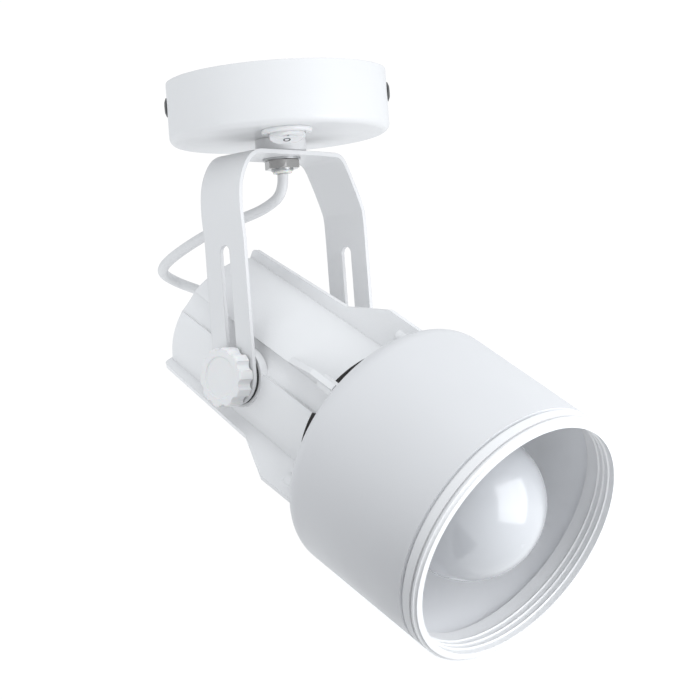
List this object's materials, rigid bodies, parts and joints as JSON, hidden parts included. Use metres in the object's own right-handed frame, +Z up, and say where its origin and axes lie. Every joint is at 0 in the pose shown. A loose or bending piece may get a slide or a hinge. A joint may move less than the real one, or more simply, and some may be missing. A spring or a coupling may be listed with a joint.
{
  "type": "surface mounted ceiling spotlight",
  "caption": "White ceiling spotlight: round canopy with rocker switch, slotted strap yoke, ribbed lamp housing with clamp knobs and a deep open cylindrical shade with an opal lamp.",
  "frame": {"origin": "centre of the ceiling plane, on the canopy's axis", "axes": "+Z up out of the ceiling, X along the tilt axis, the head points towards -Y and down"},
  "size_m": [0.117, 0.2466, 0.2619],
  "materials": {
    "white_paint": "satin powder coat",
    "cast_white": "die cast, satin white powder coat",
    "zinc_steel": "zinc plated",
    "bright_nut": "polished plating",
    "brass": "satin",
    "black_rubber": "matte",
    "white_switch": "gloss",
    "white_knob": "fine matte",
    "clear_insulation": "natural nylon",
    "cord_jacket": "smooth matte, flexible",
    "porcelain": "unglazed white",
    "opal_glass": "opal, glossy",
    "lamp_plastic": "gloss",
    "cap_metal": "bright",
    "black_glass": "glossy black"
  },
  "bodies": {
    "canopy": {"canopy_cup": "white_paint", "ceiling_bracket": "zinc_steel", "canopy_side_screws": "zinc_steel", "terminal_block": "clear_insulation", "terminal_screws": "brass", "switch_case": "white_switch", "switch_blades": "brass"},
    "rocker": {"switch_rocker": "white_switch"},
    "yoke": {"hollow_nipple": "zinc_steel", "spring_washer": "zinc_steel", "inner_lock_nut": "bright_nut", "spacer_collar": "white_paint", "strap_washer": "zinc_steel", "lower_nut": "bright_nut", "nipple_bush": "clear_insulation", "yoke_strap": "white_paint", "cord_tail_canopy": "cord_jacket", "cord": "cord_jacket"},
    "slider": {"friction_washer_left": "black_rubber", "friction_washer_right": "black_rubber"},
    "head": {"rear_housing": "cast_white", "pivot_insert_left": "brass", "pivot_insert_right": "brass", "front_shade": "white_paint", "front_ring": "cast_white", "shade_screws": "zinc_steel", "cord_gland": "white_knob", "gland_nut": "white_knob", "cord_tail_head": "cord_jacket", "holder_carrier": "zinc_steel", "carrier_screws": "zinc_steel", "lamp_holder": "porcelain", "screw_shell_contact": "brass", "centre_contact": "brass", "holder_screws": "zinc_steel"},
    "knob_left": {"clamp_knob_left": "white_knob", "clamp_stud_left": "zinc_steel", "clamp_washer_left": "zinc_steel"},
    "knob_right": {"clamp_knob_right": "white_knob", "clamp_stud_right": "zinc_steel", "clamp_washer_right": "zinc_steel"},
    "lamp": {"lamp_globe": "opal_glass", "lamp_collar": "lamp_plastic", "lamp_cap": "cap_metal", "lamp_insulator": "black_glass", "lamp_contact": "cap_metal"}
  },
  "joints": [
    {"name": "switch_rock", "type": "hinge", "parent": "canopy", "child": "rocker", "pos_m": [-0.02014, -0.02487, -0.028], "axis": [0.7771, -0.6293, 0], "range_deg": [0, 18]},
    {"name": "yoke_pan", "type": "hinge", "parent": "canopy", "child": "yoke", "pos_m": [0, 0, -0.028], "axis": [0, 0, 1], "range_deg": [-175, 175]},
    {"name": "arm_slide", "type": "slide", "parent": "yoke", "child": "slider", "axis": [0, 0, 1], "range_m": [0, 0.016], "deforming": ["cord"]},
    {"name": "head_tilt", "type": "hinge", "parent": "slider", "child": "head", "pos_m": [0, 0, -0.1348], "axis": [1, 0, 0], "range_deg": [-32.6, 57.4], "deforming": ["cord"]},
    {"name": "knob_left_turn", "type": "hinge", "parent": "head", "child": "knob_left", "pos_m": [-0.0405, 0, -0.1348], "axis": [-1, 0, 0], "range_deg": [0, 360]},
    {"name": "knob_right_turn", "type": "hinge", "parent": "head", "child": "knob_right", "pos_m": [0.0405, 0, -0.1348], "axis": [1, 0, 0], "range_deg": [0, 360]},
    {"name": "lamp_turn", "type": "hinge", "parent": "head", "child": "lamp", "pos_m": [0, -0.08425, -0.18868], "axis": [0, -0.8425, -0.5388], "range_deg": [0, 1080]}
  ]
}
